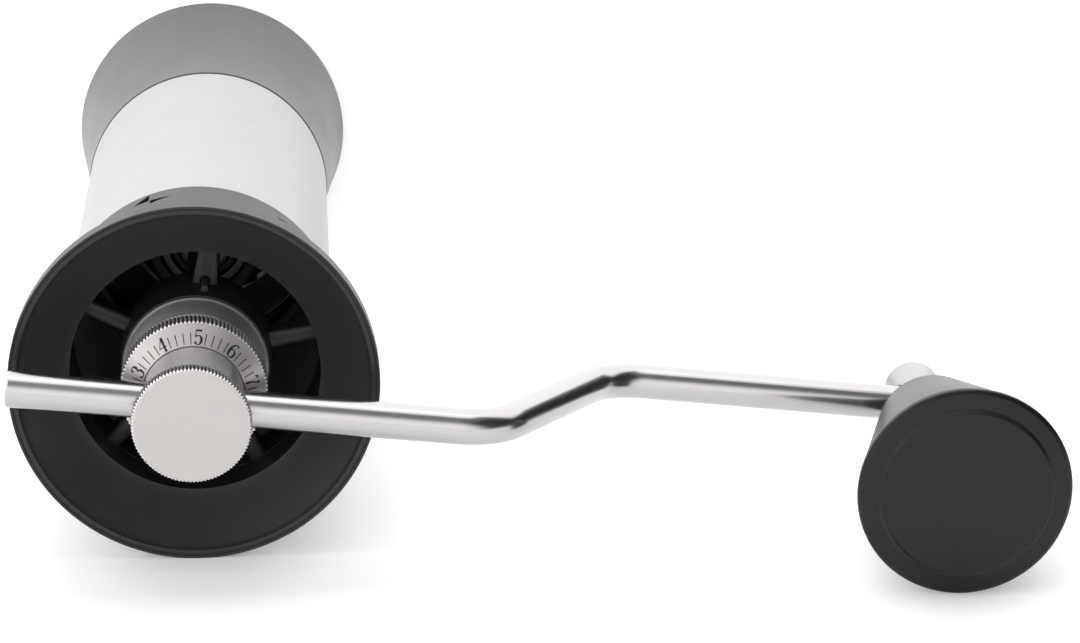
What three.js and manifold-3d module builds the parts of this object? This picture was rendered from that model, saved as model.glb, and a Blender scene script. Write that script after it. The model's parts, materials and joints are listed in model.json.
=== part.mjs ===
// Hand crank coffee grinder with conical burrs, standing upright on its catch cup.
// Millimetres. +Z is up along the grinding axis, the origin is the centre of the cup's flat base,
// and the crank reaches out along +X. Every piece is its own closed solid.

import * as THREE from 'three';
import { mergeVertices } from 'three/addons/utils/BufferGeometryUtils.js';
import Module from 'manifold-3d';

const wasm = await Module();
wasm.setup();

// ---------------------------------------------------------------- driving dimensions

const gap = 0.3; // left between neighbouring pieces
const chamfer = 0.6;

// The stack, as heights above the base.
const cupHeight = 59.6;
const tubeTop = 186;
const collarBottom = 173.6;
const funnelBottom = 200;
const throatHeight = 211.3;
const rimHeight = 221.1;
const dialBottom = 219.8;
const dialTop = 228;
const barHeight = 233.7;
const hubTop = 242.4;
const capBottom = 244.2;
const capTop = 248.2;

// The shells, as radii.
const cupBaseRadius = 36.6;
const cupMouthRadius = 31.2;
const cupWall = 2.3;
const cupFloor = 3;
const cupFlare = 1.3; // exponent of the flare: 1 is a straight cone
const tubeRadius = 31;
const tubeWall = 1.6;
const collarRadius = 32.5;
const throatRadius = 28;
const rimRadius = 41.1;
const rimBand = 4.8; // height of the upright band round the funnel's rim

// The turning parts.
const shaftRadius = 4;
const sleeveRadius = 15.85;
const dialRadius = 16.3;
const neckRadius = 11.2;
const stemRadius = 8;
const capRadius = 13;
const burrLift = 0.5; // how far the dial raises or lowers the shaft from rest

// The burrs.
const ringBurrRadius = 23.5;
const ringBurrBottom = 63.6;
const ringBurrTop = 85;
const coneBurrBottom = 61;
const coneBurrTop = 89;
const burrThroatHeight = 71; // where the burrs come closest and the flutes turn
const burrFlutes = 12;
const flutePoints = 3; // points round the circle for each flute

// The bearings: 8 x 22 x 7 ball bearings.
const bearing = { radius: 11, width: 7, outerRaceInside: 8.9, innerRaceOutside: 6.6 };
const lowerBearingHeight = 105.5;
const upperBearingHeight = 210;

// The crank: a round bar with an S-bend, and the knob at its end.
const barRadius = 4;
const barTail = -40.5; // the bar's short end, beyond the hub
const barDropHeight = 191.5;
const bendStartCorner = 66.2; // where the two bends' straight lines would meet
const bendEndCorner = 94.8;
const bendRadius = 16;
const knobX = 168.8;
const ferruleRadius = 6.5;
const ferruleBottom = 178.5;
const ferruleTop = 204.2;
const knobBottom = 205.6;
const knobBodyTop = 247.4;
const knobRimHeight = 249.8;
const knobCrown = 252.2;
const knobNarrowRadius = 12.25;
const knobRadius = 23.7;
const knobBolt = { radius: 3, bottom: 196.9, headBottom: 240.2, headTop: 243.6, headRadius: 5.4 };
const bushRadius = 5.5;

// Facets round a circle.
const coarse = 16;
const medium = 24;
const fine = 36;

// ---------------------------------------------------------------- finishes

const stainless = { color: 0xd6d6d4, roughness: 0.32, metalness: 1 };
const satinSteel = { color: 0xc9c6c2, roughness: 0.42, metalness: 1 };
const burrSteel = { color: 0x8f9092, roughness: 0.38, metalness: 1 };
const bearingSteel = { color: 0xb4b6b8, roughness: 0.22, metalness: 1 };
const aluminium = { color: 0xb9bbbd, roughness: 0.45, metalness: 1 };
const brass = { color: 0xb8924a, roughness: 0.38, metalness: 1 };
const blackPlastic = { color: 0x2c2c2d, roughness: 0.55, metalness: 0 };
const knobPlastic = { color: 0x343435, roughness: 0.5, metalness: 0 };
const blackRubber = { color: 0x161616, roughness: 0.85, metalness: 0 };
const nylon = { color: 0xe4e1d8, roughness: 0.6, metalness: 0 };

// ---------------------------------------------------------------- solid helpers

function signedVolume(geometry) {
  const position = geometry.attributes.position;
  const corner = [new THREE.Vector3(), new THREE.Vector3(), new THREE.Vector3()];
  let volume = 0;
  for (let i = 0; i < geometry.index.count; i += 3) {
    corner.forEach((point, k) => point.fromBufferAttribute(position, geometry.index.getX(i + k)));
    volume += corner[0].dot(corner[1].clone().cross(corner[2])) / 6;
  }
  return volume;
}

// Merges shared corners, drops the flat triangles on the axis and turns the faces outward.
function closed(geometry) {
  geometry.deleteAttribute('normal');
  geometry.deleteAttribute('uv');
  const merged = mergeVertices(geometry, 1e-4);
  const triangles = [];
  for (let i = 0; i < merged.index.count; i += 3) {
    const [a, b, c] = [0, 1, 2].map((k) => merged.index.getX(i + k));
    if (a !== b && b !== c && c !== a) {
      triangles.push([a, b, c]);
    }
  }
  merged.setIndex(triangles.flat());
  if (signedVolume(merged) < 0) {
    merged.setIndex(triangles.map(([a, b, c]) => [a, c, b]).flat());
  }
  return merged;
}

function toManifold(geometry) {
  const vertProperties = new Float32Array(geometry.attributes.position.array);
  const triVerts = new Uint32Array(geometry.index.array);
  return new wasm.Manifold(new wasm.Mesh({ numProp: 3, vertProperties, triVerts }));
}

function fromManifold(solid) {
  const mesh = solid.getMesh();
  const geometry = new THREE.BufferGeometry();
  geometry.setAttribute('position', new THREE.BufferAttribute(mesh.vertProperties, 3));
  geometry.setIndex(new THREE.BufferAttribute(mesh.triVerts, 1));
  return geometry;
}

function join(first, ...others) {
  return fromManifold(others.reduce((solid, other) => solid.add(toManifold(other)), toManifold(first)));
}

function cut(first, ...tools) {
  return fromManifold(tools.reduce((solid, tool) => solid.subtract(toManifold(tool)), toManifold(first)));
}

// Turns an outline of [radius, height] points about the Z axis. An outline that does not start
// on the axis is closed on itself, which makes a ring.
function revolve(outline, facets = medium) {
  const points = outline.map(([radius, height]) => new THREE.Vector2(radius, height));
  if (outline[0][0] > 0) {
    points.push(points[0].clone());
  }
  return closed(new THREE.LatheGeometry(points, facets).rotateX(Math.PI / 2));
}

// A plain ring or washer between two radii and two heights.
function washer(inside, outside, bottom, top, facets = coarse) {
  return revolve([[inside, bottom], [outside, bottom], [outside, top], [inside, top]], facets);
}

function uprightRod(radius, bottom, top, facets = coarse) {
  const rod = new THREE.CylinderGeometry(radius, radius, top - bottom, facets);
  return closed(rod.rotateX(Math.PI / 2).translate(0, 0, (bottom + top) / 2));
}

function rodAlongX(radius, start, end, height, facets = coarse) {
  const rod = new THREE.CylinderGeometry(radius, radius, end - start, facets);
  return closed(rod.rotateZ(Math.PI / 2).translate((start + end) / 2, 0, height));
}

function rodAlongY(radius, length, height, facets = coarse) {
  return closed(new THREE.CylinderGeometry(radius, radius, length, facets).translate(0, 0, height));
}

function block(centre, size) {
  return closed(new THREE.BoxGeometry(...size).translate(...centre));
}

// A ring of points at one height. Every flutePoints-th point stands off by depth, which cuts a
// groove when depth is negative outside or positive inside.
function flutedCircle(radius, height, depth = 0, twist = 0) {
  const count = burrFlutes * flutePoints;
  return Array.from({ length: count }, (_, i) => {
    const angle = (i / count) * 2 * Math.PI + twist;
    const reach = radius + (i % flutePoints === 0 ? depth : 0);
    return new THREE.Vector3(reach * Math.cos(angle), reach * Math.sin(angle), height);
  });
}

// Skins a closed loop of rings that all have the same number of points.
function skinLoop(rings) {
  const count = rings[0].length;
  const geometry = new THREE.BufferGeometry().setFromPoints(rings.flat());
  const triangles = [];
  rings.forEach((ring, r) => {
    const next = (r + 1) % rings.length;
    ring.forEach((_, i) => {
      const j = (i + 1) % count;
      const [a, b] = [r * count + i, r * count + j];
      const [c, d] = [next * count + i, next * count + j];
      triangles.push(a, b, c, b, d, c);
    });
  });
  geometry.setIndex(triangles);
  return closed(geometry);
}

// ---------------------------------------------------------------- shells

function cupRadiusAt(height) {
  const drop = 1 - height / cupHeight;
  return cupMouthRadius + (cupBaseRadius - cupMouthRadius) * drop ** cupFlare;
}

function catchCup() {
  const steps = 6;
  const insideMouth = tubeRadius - tubeWall - 0.5;
  const outline = [[0, 0], [cupBaseRadius - chamfer, 0]];
  for (let i = 0; i <= steps; i += 1) {
    const height = chamfer + ((cupHeight - chamfer) * i) / steps;
    outline.push([cupRadiusAt(height), height]);
  }
  outline.push([insideMouth, cupHeight]);
  for (let i = steps - 1; i >= 1; i -= 1) {
    const height = cupFloor + ((cupHeight - cupFloor) * i) / steps;
    outline.push([Math.max(insideMouth, cupRadiusAt(height) - cupWall), height]);
  }
  outline.push([cupRadiusAt(cupFloor) - cupWall - 2, cupFloor], [0, cupFloor]);
  return revolve(outline, fine);
}

function bodyTube() {
  return washer(tubeRadius - tubeWall, tubeRadius, cupHeight + gap, tubeTop, fine);
}

// The collar slips over the tube's end and carries the hub on five arms. The first arm is wider
// at the hub, where the index pin stands, half let into the hub's wall.
const hubRadius = 17.1;
const hubRingTop = 206.2;
const hubBoreRadius = sleeveRadius + gap;
const hubBottom = 191;
const armCount = 5;
const armTurn = THREE.MathUtils.degToRad(88.6); // direction of the first arm
const armHalfWidth = 1.95;
const wideArmHalfWidth = 2.9;
const armBottom = 194;
const armTop = funnelBottom - gap;
const collarInside = throatRadius + gap;
const indexPin = { radius: 0.9, reach: 17.8, bottom: 196, top: hubRingTop };

function spiderArm(index) {
  const innerHalfWidth = index === 0 ? wideArmHalfWidth : armHalfWidth;
  const [start, end] = [(hubBoreRadius + hubRadius) / 2, collarInside + 1];
  const outline = new THREE.Shape([
    new THREE.Vector2(start, -innerHalfWidth),
    new THREE.Vector2(end, -armHalfWidth),
    new THREE.Vector2(end, armHalfWidth),
    new THREE.Vector2(start, innerHalfWidth),
  ]);
  const arm = new THREE.ExtrudeGeometry(outline, { depth: armTop - armBottom, bevelEnabled: false });
  const turn = armTurn + (index * 2 * Math.PI) / armCount;
  return closed(arm.translate(0, 0, armBottom).rotateZ(turn));
}

function indexPinRod(radius, bottom) {
  const rod = uprightRod(radius, bottom, indexPin.top, 12);
  return rod.translate(indexPin.reach * Math.cos(armTurn), indexPin.reach * Math.sin(armTurn), 0);
}

function spiderCollar() {
  const collar = revolve([
    [tubeRadius + gap, collarBottom],
    [collarRadius, collarBottom],
    [collarRadius, armTop],
    [collarInside, armTop],
    [collarInside, tubeTop + gap],
    [tubeRadius + gap, tubeTop + gap],
  ], fine);
  const hub = washer(hubBoreRadius, hubRadius, hubBottom, hubRingTop, medium);
  const arms = Array.from({ length: armCount }, (_, index) => spiderArm(index));
  const pinHole = indexPinRod(indexPin.radius + gap, indexPin.bottom - gap);
  return cut(join(collar, hub, ...arms), pinHole);
}

function funnel() {
  const bandBottom = rimHeight - rimBand;
  const lipInside = rimRadius - 1.3;
  const dishTop = [rimRadius - 1.8, rimHeight - 0.9];
  const dishBulge = 1.2;
  const steps = 5;
  const outline = [
    [collarInside, funnelBottom],
    [collarRadius, funnelBottom],
    [collarRadius + 0.9, funnelBottom + 4],
    [collarRadius + 3.2, funnelBottom + 9.4],
    [rimRadius - 1.2, bandBottom - 1],
    [rimRadius, bandBottom],
    [rimRadius, rimHeight - 0.5],
    [rimRadius - 0.5, rimHeight],
    [lipInside, rimHeight],
  ];
  for (let i = steps; i >= 0; i -= 1) {
    const along = i / steps;
    outline.push([
      throatRadius + (dishTop[0] - throatRadius) * along,
      throatHeight + (dishTop[1] - throatHeight) * along ** dishBulge,
    ]);
  }
  outline.push([throatRadius, throatHeight - 1.5]);
  return revolve(outline, fine);
}

// ---------------------------------------------------------------- grinding chamber

const carrierRadius = tubeRadius - tubeWall - gap;
const spigot = { radius: 28.4, inside: 24.8, bottom: 49.5 };
const oRing = { centre: 27.9, radius: 0.7, height: 53.8 };
const grooveBottomRadius = 26.9;
const grooveHalfWidth = 1.1;
const carrierTop = 92;
const burrSeatHeight = ringBurrTop + gap;
const feedRadius = 21.8;

function burrCarrier() {
  return revolve([
    [spigot.inside, spigot.bottom],
    [spigot.radius, spigot.bottom],
    [spigot.radius, oRing.height - grooveHalfWidth],
    [grooveBottomRadius, oRing.height - grooveHalfWidth],
    [grooveBottomRadius, oRing.height + grooveHalfWidth],
    [spigot.radius, oRing.height + grooveHalfWidth],
    [spigot.radius, cupHeight + gap],
    [carrierRadius, cupHeight + gap],
    [carrierRadius, carrierTop],
    [carrierRadius - 0.5, carrierTop],
    [feedRadius, burrSeatHeight + 1.2],
    [feedRadius, burrSeatHeight],
    [ringBurrRadius + gap, burrSeatHeight],
    [ringBurrRadius + gap, ringBurrBottom - gap],
    [spigot.inside, ringBurrBottom - gap],
  ], fine);
}

function cupORing() {
  const sides = 8;
  const section = Array.from({ length: sides }, (_, i) => {
    const angle = (i / sides) * 2 * Math.PI;
    return [oRing.centre + oRing.radius * Math.cos(angle), oRing.height + oRing.radius * Math.sin(angle)];
  });
  return revolve(section, fine);
}

function retainingRing() {
  const ring = washer(21, spigot.inside - gap, 60.3, 63, medium);
  const notch = block([0, spigot.inside, 60.3], [4, 6, 2.4]);
  const otherNotch = block([0, -spigot.inside, 60.3], [4, 6, 2.4]);
  return cut(ring, notch, otherNotch);
}

function ringBurr() {
  const depth = 1.3;
  return skinLoop([
    flutedCircle(ringBurrRadius, ringBurrBottom),
    flutedCircle(ringBurrRadius, ringBurrTop),
    flutedCircle(20.6, ringBurrTop, depth, 0.24),
    flutedCircle(16.2, burrThroatHeight, depth, 0.08),
    flutedCircle(19, ringBurrBottom, depth / 2),
  ]);
}

function coneBurr() {
  const depth = -1.4;
  const bore = shaftRadius + gap;
  return skinLoop([
    flutedCircle(bore, coneBurrBottom),
    flutedCircle(17.9, coneBurrBottom, depth / 2),
    flutedCircle(17.9, coneBurrBottom + 3, depth / 2, -0.04),
    flutedCircle(15.1, burrThroatHeight, depth, -0.14),
    flutedCircle(8.2, coneBurrTop, depth, -0.42),
    flutedCircle(bore, coneBurrTop),
  ]);
}

function burrBolt() {
  const head = uprightRod(5, 55.2, 58.9, 6);
  const shank = uprightRod(2.4, 58, 66);
  return join(head, shank);
}

// ---------------------------------------------------------------- shaft and bearings

const shaft = { bottom: 61.5, top: 228.8, boreRadius: 2.7, boreTop: 69 };
const shaftFlange = { radius: 6.5, bottom: coneBurrTop + gap, top: 91.3 };
const hubPin = { radius: 1.2, length: 15.2, height: 223.4 };

function driveShaft() {
  const rod = revolve([
    [0, shaft.boreTop],
    [shaft.boreRadius, shaft.boreTop],
    [shaft.boreRadius, shaft.bottom],
    [shaftRadius, shaft.bottom],
    [shaftRadius, shaftFlange.bottom],
    [shaftFlange.radius, shaftFlange.bottom],
    [shaftFlange.radius, shaftFlange.top],
    [shaftRadius, shaftFlange.top],
    [shaftRadius, shaft.top],
    [0, shaft.top],
  ], coarse);
  return cut(rod, rodAlongY(hubPin.radius + gap, 4 * shaftRadius, hubPin.height, 12));
}

const bridge = { bottom: 103.7, top: 113.2, hubRadius: 14, lipRadius: 7.2, ringInside: 27 };
const bridgeArmCount = 3;
const bridgeArmWidth = 6;

function lowerBridge() {
  const bore = bearing.radius + gap;
  const hub = revolve([
    [bridge.lipRadius, bridge.bottom],
    [bridge.hubRadius, bridge.bottom],
    [bridge.hubRadius, bridge.top],
    [bore, bridge.top],
    [bore, lowerBearingHeight - gap],
    [bridge.lipRadius, lowerBearingHeight - gap],
  ], coarse);
  const rim = washer(bridge.ringInside, carrierRadius, 106, 112, fine);
  const armReach = bridge.ringInside + 1 - (bore + 1);
  const arms = Array.from({ length: bridgeArmCount }, (_, i) => {
    const arm = block([bore + 1 + armReach / 2, 0, 109], [armReach, bridgeArmWidth, 6]);
    return arm.rotateZ((i * 2 * Math.PI) / bridgeArmCount);
  });
  return join(hub, rim, ...arms);
}

function outerRace() {
  return washer(bearing.outerRaceInside, bearing.radius, 0, bearing.width);
}

function innerRace() {
  return washer(shaftRadius + gap, bearing.innerRaceOutside, 0, bearing.width);
}

function ballCage() {
  const inside = bearing.innerRaceOutside + gap;
  const outside = bearing.outerRaceInside - gap;
  return washer(inside, outside, 1, bearing.width - 1);
}

const spring = { radius: 8.2, wire: 0.6, bottom: 94.1, top: 102.6, turns: 4 };
const springSeat = { bottom: 91.6, top: 93 };

class Helix extends THREE.Curve {
  getPoint(t, target = new THREE.Vector3()) {
    const angle = t * spring.turns * 2 * Math.PI;
    const height = spring.bottom + (spring.top - spring.bottom) * t;
    return target.set(spring.radius * Math.cos(angle), spring.radius * Math.sin(angle), height);
  }
}

function polygon(radius, sides) {
  return new THREE.Shape(Array.from({ length: sides }, (_, i) => {
    const angle = (i / sides) * 2 * Math.PI;
    return new THREE.Vector2(radius * Math.cos(angle), radius * Math.sin(angle));
  }));
}

function preloadSpring() {
  const steps = spring.turns * 10;
  const options = { steps, extrudePath: new Helix(), bevelEnabled: false };
  return closed(new THREE.ExtrudeGeometry(polygon(spring.wire, 6), options));
}

// ---------------------------------------------------------------- dial, sleeve and hub

const circlip = { inside: 10.3, outside: 11.9, bottom: 217.4, top: 218.1 };

function bearingSleeve() {
  const bore = bearing.radius + gap;
  const grooveRadius = circlip.outside + gap;
  const top = dialBottom - gap;
  return revolve([
    [9, 194],
    [sleeveRadius, 194],
    [sleeveRadius, top - chamfer],
    [sleeveRadius - chamfer, top],
    [bore, top],
    [bore, circlip.top + gap],
    [grooveRadius, circlip.top + gap],
    [grooveRadius, circlip.bottom - gap],
    [bore, circlip.bottom - gap],
    [bore, upperBearingHeight - gap],
    [9, upperBearingHeight - gap],
  ], medium);
}

function bearingCirclip() {
  const ring = washer(circlip.inside, circlip.outside, circlip.bottom, circlip.top, medium);
  return cut(ring, block([0, circlip.outside, circlip.top], [5, 6, 3]));
}

// A stepped ring: its floor sits on the inner race and its wall carries the dial outside the stem.
function dialSpacer() {
  const floorBottom = upperBearingHeight + bearing.width + gap;
  const wallInside = stemRadius + 2 * gap;
  return revolve([
    [shaftRadius + gap, floorBottom],
    [9.7, floorBottom],
    [9.7, dialBottom - gap],
    [wallInside, dialBottom - gap],
    [wallInside, floorBottom + 0.8],
    [shaftRadius + gap, floorBottom + 0.8],
  ], coarse);
}

// A knurled band under a numbered cone, threaded on the hub's stem. The neck's foot sits in the
// recess on top and has room to rise and sink there.
const dialBandTop = 224.8;
const dialRecessFloor = dialTop - 1.6;

function adjustmentDial() {
  const recessRadius = neckRadius + gap;
  return revolve([
    [stemRadius + gap, dialBottom],
    [dialRadius - chamfer, dialBottom],
    [dialRadius, dialBottom + chamfer],
    [dialRadius, dialBandTop],
    [recessRadius, dialTop],
    [recessRadius, dialRecessFloor],
    [stemRadius + gap, dialRecessFloor],
  ], fine);
}

function crankHub() {
  const bore = shaftRadius + gap;
  const neckBottom = dialRecessFloor + burrLift + 0.7;
  const stemBottom = dialBottom - 0.6;
  const turned = revolve([
    [bore, stemBottom],
    [stemRadius, stemBottom],
    [stemRadius, neckBottom],
    [neckRadius, neckBottom],
    [neckRadius, hubTop],
    [bore, hubTop],
  ], medium);
  const barHole = rodAlongX(barRadius + gap, -2 * neckRadius, 2 * neckRadius, barHeight);
  const pinHole = rodAlongY(hubPin.radius + gap, 4 * stemRadius, hubPin.height, 12);
  return cut(turned, barHole, pinHole);
}

// The cap's stud screws down into the hub and clamps the bar.
function lockCap() {
  const studRadius = shaftRadius - 0.1;
  return revolve([
    [0, barHeight + barRadius + 0.35],
    [studRadius, barHeight + barRadius + 0.35],
    [studRadius, capBottom],
    [capRadius - chamfer, capBottom],
    [capRadius, capBottom + chamfer],
    [capRadius, capTop - chamfer],
    [capRadius - chamfer, capTop],
    [0, capTop],
  ], fine);
}

// ---------------------------------------------------------------- crank and knob

// The bar's centre line lies in the XZ plane: level over the funnel, down an S-bend, level again.
class BarCentreLine extends THREE.Curve {
  constructor() {
    super();
    const slope = Math.atan2(barHeight - barDropHeight, bendEndCorner - bendStartCorner);
    const tangent = bendRadius * Math.tan(slope / 2);
    const quarter = Math.PI / 2;
    this.line = new THREE.Path();
    this.line.moveTo(barTail, barHeight);
    this.line.lineTo(bendStartCorner - tangent, barHeight);
    const firstCentre = [bendStartCorner - tangent, barHeight - bendRadius];
    this.line.absarc(...firstCentre, bendRadius, quarter, quarter - slope, true);
    const secondCentre = [bendEndCorner + tangent, barDropHeight + bendRadius];
    this.line.absarc(...secondCentre, bendRadius, 3 * quarter - slope, 3 * quarter, false);
    this.line.lineTo(knobX - 0.6, barDropHeight);
  }

  getPoint(t, target = new THREE.Vector3()) {
    const point = this.line.getPoint(t);
    return target.set(point.x, 0, point.y);
  }
}

function crankBar() {
  const options = { steps: 32, extrudePath: new BarCentreLine(), bevelEnabled: false };
  return closed(new THREE.ExtrudeGeometry(polygon(barRadius, 10), options));
}

// The stub that the bar's end is let into, with a flat milled on its outer side.
function knobFerrule() {
  const bore = knobBolt.radius + gap;
  const stub = revolve([
    [0, ferruleBottom],
    [ferruleRadius - chamfer, ferruleBottom],
    [ferruleRadius, ferruleBottom + chamfer],
    [ferruleRadius, ferruleTop - chamfer],
    [ferruleRadius - chamfer, ferruleTop],
    [bore, ferruleTop],
    [bore, knobBolt.bottom - gap],
    [0, knobBolt.bottom - gap],
  ], coarse);
  const socket = rodAlongX(barRadius + gap, -2 * ferruleRadius, 0.2, barDropHeight);
  const flat = block([ferruleRadius + 1.2, 0, ferruleBottom + 3], [4, 16, 10]);
  return cut(stub, socket, flat);
}

function knobBoltSolid() {
  const shank = uprightRod(knobBolt.radius, knobBolt.bottom, knobBolt.headBottom + 1);
  const head = uprightRod(knobBolt.headRadius, knobBolt.headBottom, knobBolt.headTop);
  const hexSocket = uprightRod(2.9, knobBolt.headTop - 2, knobBolt.headTop + 1, 6);
  return cut(join(shank, head), hexSocket);
}

function knobBush(bottom, top) {
  return washer(knobBolt.radius + gap, bushRadius, bottom, top);
}

function knobBody() {
  const bore = bushRadius + gap;
  const headRoom = 6.6;
  const topRadius = knobRadius - 0.5;
  return revolve([
    [bore, knobBottom],
    [knobNarrowRadius - chamfer, knobBottom],
    [knobNarrowRadius, knobBottom + chamfer],
    [topRadius, knobBodyTop - 0.5],
    [topRadius - 0.5, knobBodyTop],
    [headRoom, knobBodyTop],
    [headRoom, knobBolt.headBottom],
    [bore, knobBolt.headBottom],
  ], fine);
}

function knobCap() {
  const plugRadius = 6.3;
  const bottom = knobBodyTop + gap;
  return revolve([
    [0, knobBolt.headTop + 1],
    [plugRadius, knobBolt.headTop + 1],
    [plugRadius, bottom],
    [knobRadius - 0.8, bottom],
    [knobRadius, bottom + 0.9],
    [knobRadius, knobRimHeight],
    [18.9, knobRimHeight + 1.3],
    [18.5, knobRimHeight + 1.6],
    [9, knobCrown - 0.3],
    [0, knobCrown],
  ], fine);
}

// ---------------------------------------------------------------- assembly

function piece(group, name, geometry, finish, height = 0) {
  const mesh = new THREE.Mesh(geometry, new THREE.MeshStandardMaterial(finish));
  mesh.name = name;
  mesh.position.z = height;
  group.add(mesh);
}

function housing() {
  const group = new THREE.Group();
  piece(group, 'body_tube', bodyTube(), stainless);
  piece(group, 'spider_collar', spiderCollar(), blackPlastic);
  piece(group, 'funnel', funnel(), blackPlastic);
  piece(group, 'index_pin', indexPinRod(indexPin.radius, indexPin.bottom), blackPlastic);
  piece(group, 'bearing_sleeve', bearingSleeve(), satinSteel);
  piece(group, 'bearing_circlip', bearingCirclip(), bearingSteel);
  piece(group, 'burr_carrier', burrCarrier(), aluminium);
  piece(group, 'cup_o_ring', cupORing(), blackRubber);
  piece(group, 'ring_burr', ringBurr(), burrSteel);
  piece(group, 'burr_retaining_ring', retainingRing(), aluminium);
  piece(group, 'lower_bridge', lowerBridge(), blackPlastic);
  piece(group, 'preload_spring', preloadSpring(), bearingSteel);
  return group;
}

function bearings() {
  const group = new THREE.Group();
  const places = { lower: lowerBearingHeight, upper: upperBearingHeight };
  Object.entries(places).forEach(([place, height]) => {
    piece(group, `${place}_bearing_outer_race`, outerRace(), bearingSteel, height);
    piece(group, `${place}_bearing_inner_race`, innerRace(), bearingSteel, height);
    piece(group, `${place}_bearing_cage`, ballCage(), brass, height);
  });
  return group;
}

function driveTrain() {
  const group = new THREE.Group();
  piece(group, 'drive_shaft', driveShaft(), bearingSteel);
  piece(group, 'cone_burr', coneBurr(), burrSteel);
  piece(group, 'burr_washer', washer(2.7, 9, 59.2, 60.7), bearingSteel);
  piece(group, 'burr_bolt', burrBolt(), bearingSteel);
  piece(group, 'spring_seat', washer(4.6, 10, springSeat.bottom, springSeat.top), bearingSteel);
  piece(group, 'dial_spacer', dialSpacer(), brass);
  piece(group, 'adjustment_dial', adjustmentDial(), satinSteel);
  piece(group, 'crank_hub', crankHub(), satinSteel);
  piece(group, 'hub_pin', rodAlongY(hubPin.radius, hubPin.length, hubPin.height, 12), bearingSteel);
  piece(group, 'clamp_washer', washer(4.6, 9.5, hubTop + gap, capBottom - gap), nylon);
  piece(group, 'lock_cap', lockCap(), satinSteel);
  return group;
}

function knob() {
  const group = new THREE.Group();
  group.position.x = knobX;
  piece(group, 'knob_ferrule', knobFerrule(), stainless);
  piece(group, 'knob_bolt', knobBoltSolid(), bearingSteel);
  piece(group, 'knob_washer', washer(3.3, 6.2, ferruleTop + gap, knobBottom - gap), nylon);
  piece(group, 'knob_bush_lower', knobBush(knobBottom, knobBottom + 8.4), brass);
  piece(group, 'knob_bush_upper', knobBush(knobBolt.headBottom - 8.7, knobBolt.headBottom - gap), brass);
  piece(group, 'knob_body', knobBody(), knobPlastic);
  piece(group, 'knob_cap', knobCap(), knobPlastic);
  return group;
}

const grinder = new THREE.Group();
piece(grinder, 'catch_cup', catchCup(), blackPlastic);
grinder.add(housing(), bearings(), driveTrain());
piece(grinder, 'crank_bar', crankBar(), stainless);
grinder.add(knob());

export default grinder;
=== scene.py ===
# Looks of the hand crank coffee grinder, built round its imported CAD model.
# The frame is in metres with +Z up. Outlines are written in millimetres, and MM turns them into metres.

import json
import math

import bmesh
import bpy
from mathutils import Matrix, Vector


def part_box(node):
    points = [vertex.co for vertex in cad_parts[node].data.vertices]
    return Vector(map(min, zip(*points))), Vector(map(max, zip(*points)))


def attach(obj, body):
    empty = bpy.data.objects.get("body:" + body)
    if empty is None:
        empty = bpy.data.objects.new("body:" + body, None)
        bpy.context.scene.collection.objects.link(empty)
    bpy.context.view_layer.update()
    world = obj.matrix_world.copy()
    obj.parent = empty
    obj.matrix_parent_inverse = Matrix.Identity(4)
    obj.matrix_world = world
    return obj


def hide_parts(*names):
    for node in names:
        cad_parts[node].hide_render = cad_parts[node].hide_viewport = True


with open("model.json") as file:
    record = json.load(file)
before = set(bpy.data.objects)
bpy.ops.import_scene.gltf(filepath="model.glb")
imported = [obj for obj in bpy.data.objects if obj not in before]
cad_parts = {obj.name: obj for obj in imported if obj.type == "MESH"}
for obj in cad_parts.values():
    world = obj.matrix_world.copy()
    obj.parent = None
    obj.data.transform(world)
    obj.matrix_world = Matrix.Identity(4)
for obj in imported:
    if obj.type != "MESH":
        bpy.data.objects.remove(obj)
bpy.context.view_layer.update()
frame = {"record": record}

MM = 0.001
SEGMENTS = 192  # facets round a large turned piece
SMALL_SEGMENTS = 96
PIN_SEGMENTS = 48
GAP = 0.3  # what the CAD leaves between neighbouring pieces

record = frame["record"]
body_of = {node: body for body, nodes in record["behaviour"]["bodies"].items() for node in nodes}


def bottom(node):
    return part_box(node)[0].z / MM


def top(node):
    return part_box(node)[1].z / MM


def span(node):
    return bottom(node), top(node)


def reach(node):
    """Outer radius of a CAD piece that is turned about an upright axis in the XZ plane."""
    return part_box(node)[1].y / MM


knob_x = (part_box("knob_body")[0].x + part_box("knob_body")[1].x) / 2 / MM


# ---------------------------------------------------------------- mesh helpers


def mesh_piece(name, points, faces, axis_x=0):
    """A closed mesh from points in mm, with its faces turned outward and its object on an upright axis."""
    mesh = bpy.data.meshes.new(name)
    shift = Vector((axis_x, 0, 0))
    mesh.from_pydata([(Vector(point) - shift) * MM for point in points], [], faces)
    piece = bpy.data.objects.new(name, mesh)
    piece.location = shift * MM
    bpy.context.scene.collection.objects.link(piece)
    shell = bmesh.new()
    shell.from_mesh(mesh)
    bmesh.ops.remove_doubles(shell, verts=shell.verts, dist=1e-7)
    bmesh.ops.recalc_face_normals(shell, faces=shell.faces)
    shell.to_mesh(mesh)
    shell.free()
    return piece


def smooth(piece, angle=32):
    """Smooth shading, with edges sharper than the angle kept crisp."""
    mesh = piece.data
    mesh.shade_smooth()
    mesh.set_sharp_from_angle(angle=math.radians(angle))
    even = piece.modifiers.new("even_normals", "WEIGHTED_NORMAL")
    even.keep_sharp = True
    return piece


def arc_points(before, corner, after, fillet, steps):
    """The points of a fillet that replaces a corner, as pairs."""
    here = Vector(corner)
    back = Vector(before) - here
    ahead = Vector(after) - here
    half = back.angle(ahead) / 2
    tangent = min(fillet / math.tan(half), 0.48 * back.length, 0.48 * ahead.length)
    radius = tangent * math.tan(half)
    middle = here + (back.normalized() + ahead.normalized()).normalized() * (radius / math.sin(half))
    first = here + back.normalized() * tangent - middle
    last = here + ahead.normalized() * tangent - middle
    return [tuple(middle + first.slerp(last, step / steps) * radius) for step in range(steps + 1)]


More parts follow.
